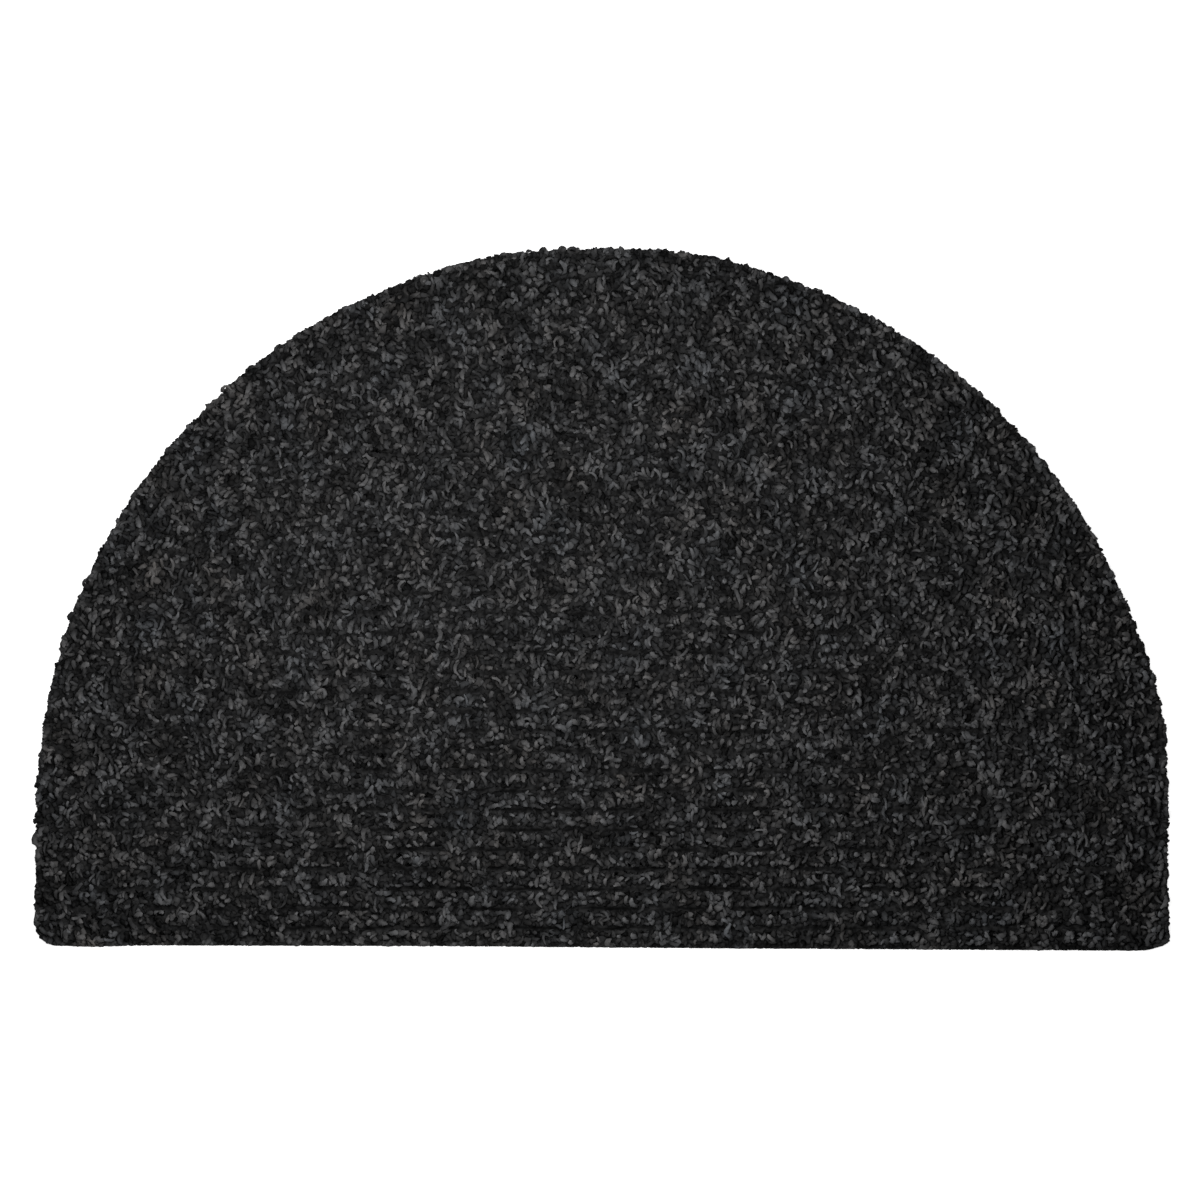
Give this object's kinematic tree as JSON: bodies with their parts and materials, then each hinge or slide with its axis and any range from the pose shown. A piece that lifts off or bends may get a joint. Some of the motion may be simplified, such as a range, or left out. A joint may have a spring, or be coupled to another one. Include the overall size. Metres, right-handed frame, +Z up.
{
  "type": "half round doormat",
  "caption": "Half round doormat: one flat piece of charcoal cut pile cloth with low ribs and a flat coated back, laid on the floor at a door.",
  "frame": {"origin": "on the floor, under the middle of the mat's box", "axes": "+X along the straight front edge, to the right as seen in the picture; +Y from the straight edge to the top of the half round; +Z up, out of the pile"},
  "size_m": [0.6496, 0.4014, 0.0089],
  "materials": {
    "charcoal_pile": "dull cut pile of twisted yarn, near black and charcoal mixed"
  },
  "bodies": {
    "root": {"mat": "charcoal_pile"}
  },
  "joints": []
}
